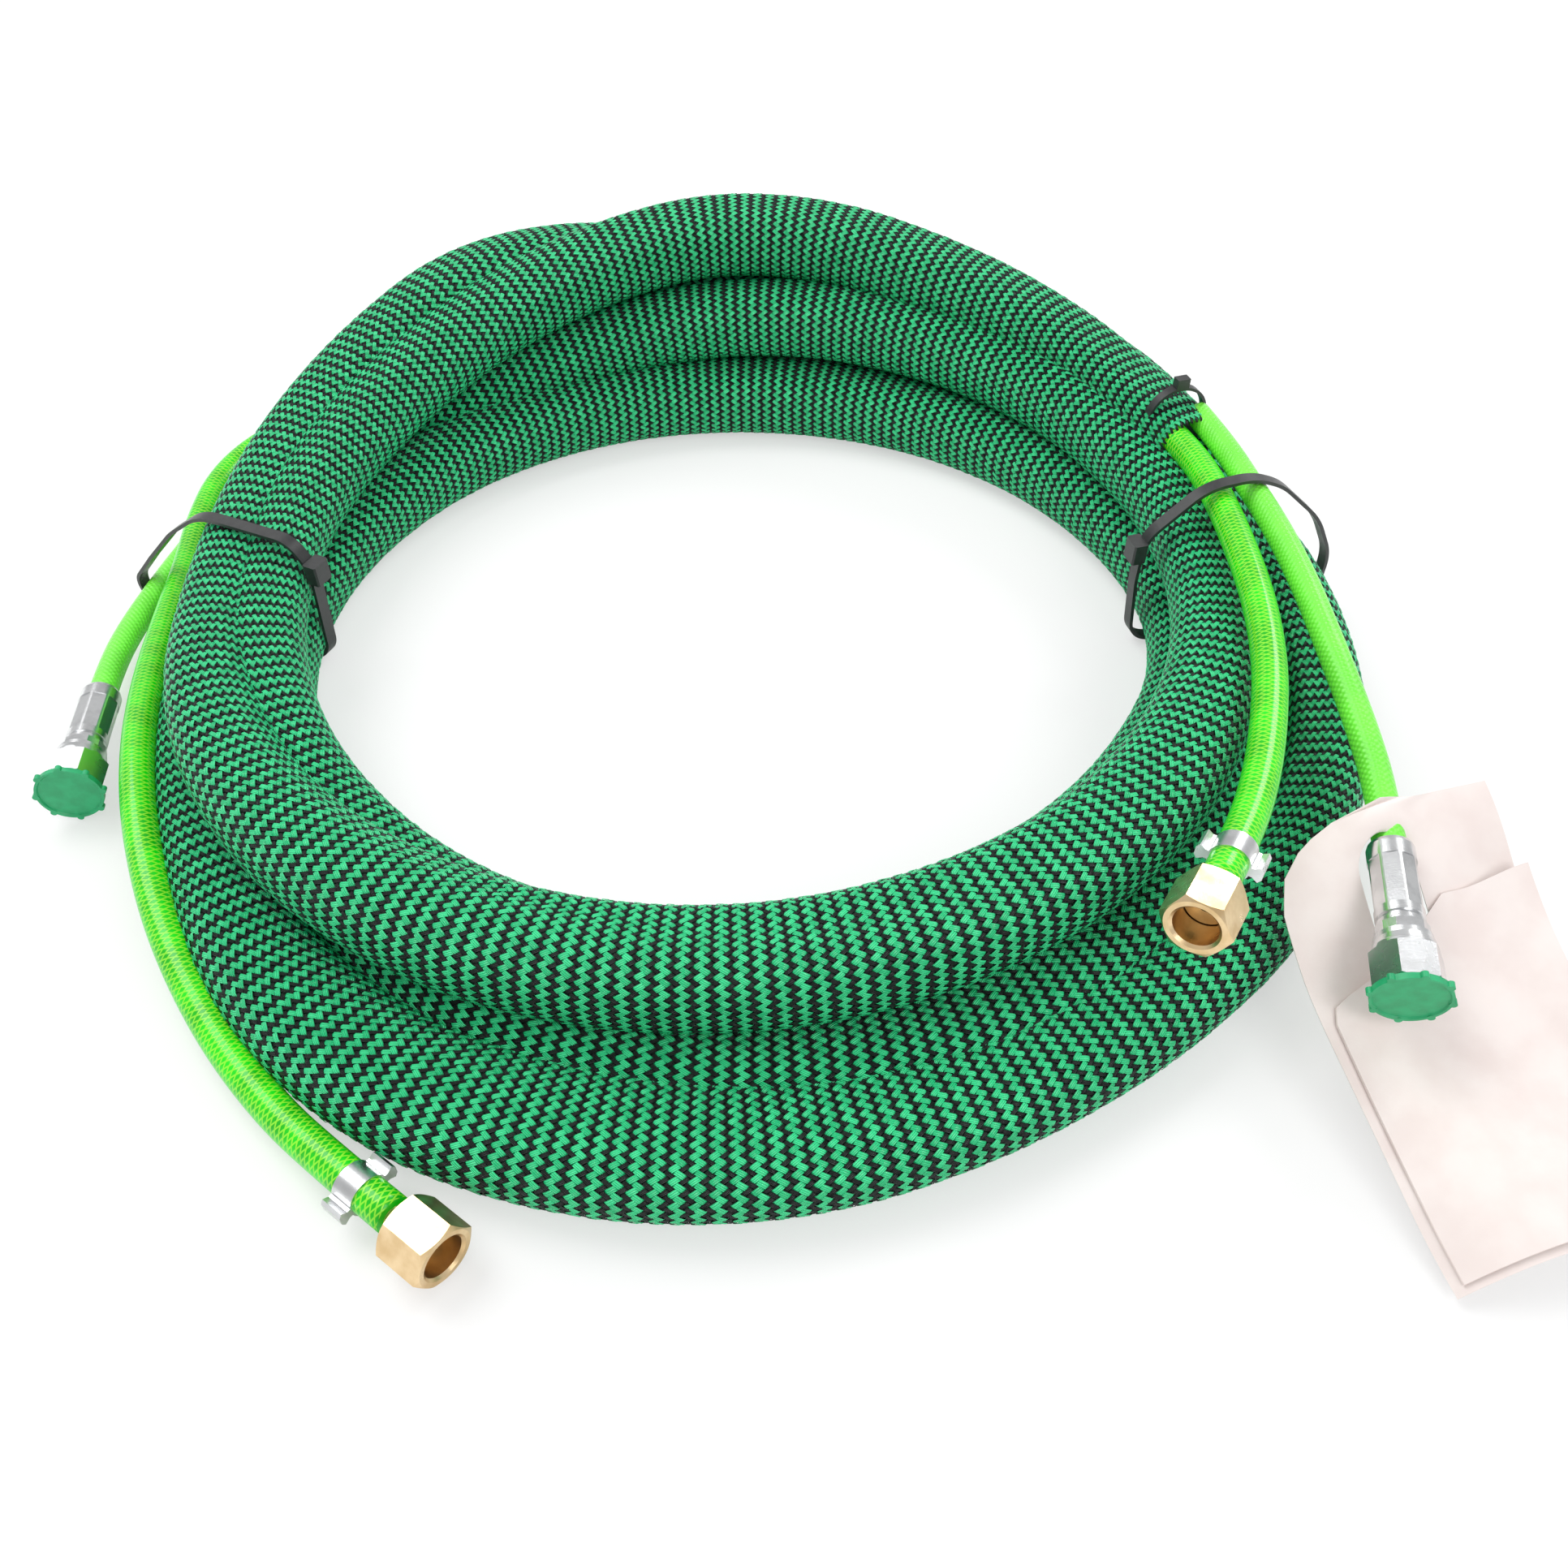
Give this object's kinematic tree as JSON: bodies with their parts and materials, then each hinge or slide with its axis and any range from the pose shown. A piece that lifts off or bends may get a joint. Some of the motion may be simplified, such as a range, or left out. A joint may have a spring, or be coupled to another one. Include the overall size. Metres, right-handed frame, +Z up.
{
  "type": "coiled twin hose lead",
  "caption": "Sleeved twin-hose spray lead, coiled flat and tied: air hose with brass swivel nuts and capped fluid hose with crimped ends, in one braided sleeve.",
  "frame": {"origin": "middle of the whole lead's bounding box, on the floor that the coil lies on", "axes": "+Z up; -Y is the front of the coil, between its two hose ends; +X is to the right seen from the front"},
  "size_m": [0.4985, 0.4768, 0.094],
  "materials": {
    "braided_sleeve": "woven plastic yarn, satin",
    "clear_hose": "clear, glossy",
    "lime_hose": "glossy",
    "brass": "machined",
    "zinc_steel": "bright zinc plate",
    "green_plug": "moulded",
    "black_nylon": "moulded",
    "tag_paper": "coated paper"
  },
  "bodies": {
    "lead": {"sleeve_coil": "braided_sleeve", "air_hose_tail_a": "clear_hose", "air_hose_tail_b": "clear_hose", "fluid_hose_tail_a": "lime_hose", "fluid_hose_tail_b": "lime_hose", "air_stem_a": "brass", "air_clamp_a": "zinc_steel", "fluid_ferrule_a": "zinc_steel", "fluid_stem_a": "zinc_steel", "sleeve_tie_a": "black_nylon", "air_stem_b": "brass", "air_clamp_b": "zinc_steel", "fluid_ferrule_b": "zinc_steel", "fluid_stem_b": "zinc_steel", "sleeve_tie_b": "black_nylon", "bundle_tie_left": "black_nylon", "bundle_tie_right": "black_nylon"},
    "air_swivel_a": {"air_nut_a": "brass"},
    "fluid_swivel_a": {"fluid_nut_a": "zinc_steel"},
    "transit_plug_a": {"fluid_plug_a": "green_plug"},
    "air_swivel_b": {"air_nut_b": "brass"},
    "fluid_swivel_b": {"fluid_nut_b": "zinc_steel"},
    "transit_plug_b": {"fluid_plug_b": "green_plug"},
    "tag": {"tag_cover": "tag_paper", "tag_leaves": "tag_paper"}
  },
  "joints": [
    {"name": "air_swivel_a_turn", "type": "hinge", "parent": "lead", "child": "air_swivel_a", "pos_m": [-0.08669, -0.22616, 0.01094], "axis": [0.7944, -0.6062, 0.0376], "continuous": true},
    {"name": "air_swivel_b_turn", "type": "hinge", "parent": "lead", "child": "air_swivel_b", "pos_m": [0.1163, -0.1605, 0.06486], "axis": [-0.5137, -0.8488, 0.1251], "continuous": true},
    {"name": "fluid_swivel_a_turn", "type": "hinge", "parent": "lead", "child": "fluid_swivel_a", "pos_m": [-0.234, -0.06048, 0.01294], "axis": [0.137, -0.9897, 0.0406], "continuous": true},
    {"name": "fluid_swivel_b_turn", "type": "hinge", "parent": "lead", "child": "fluid_swivel_b", "pos_m": [0.17617, -0.16238, 0.04248], "axis": [-0.1627, -0.9844, -0.0667], "continuous": true},
    {"name": "transit_plug_a_pull", "type": "slide", "parent": "fluid_swivel_a", "child": "transit_plug_a", "axis": [0.137, -0.9897, 0.0406], "range_m": [0, 0.014]},
    {"name": "transit_plug_b_pull", "type": "slide", "parent": "fluid_swivel_b", "child": "transit_plug_b", "axis": [-0.1627, -0.9844, -0.0667], "range_m": [0, 0.014]},
    {"name": "tag_lift", "type": "hinge", "parent": "lead", "child": "tag", "pos_m": [0.17813, -0.11608, 0.053], "axis": [-0.9659, -0.2588, 0], "range_deg": [0, 3]}
  ]
}
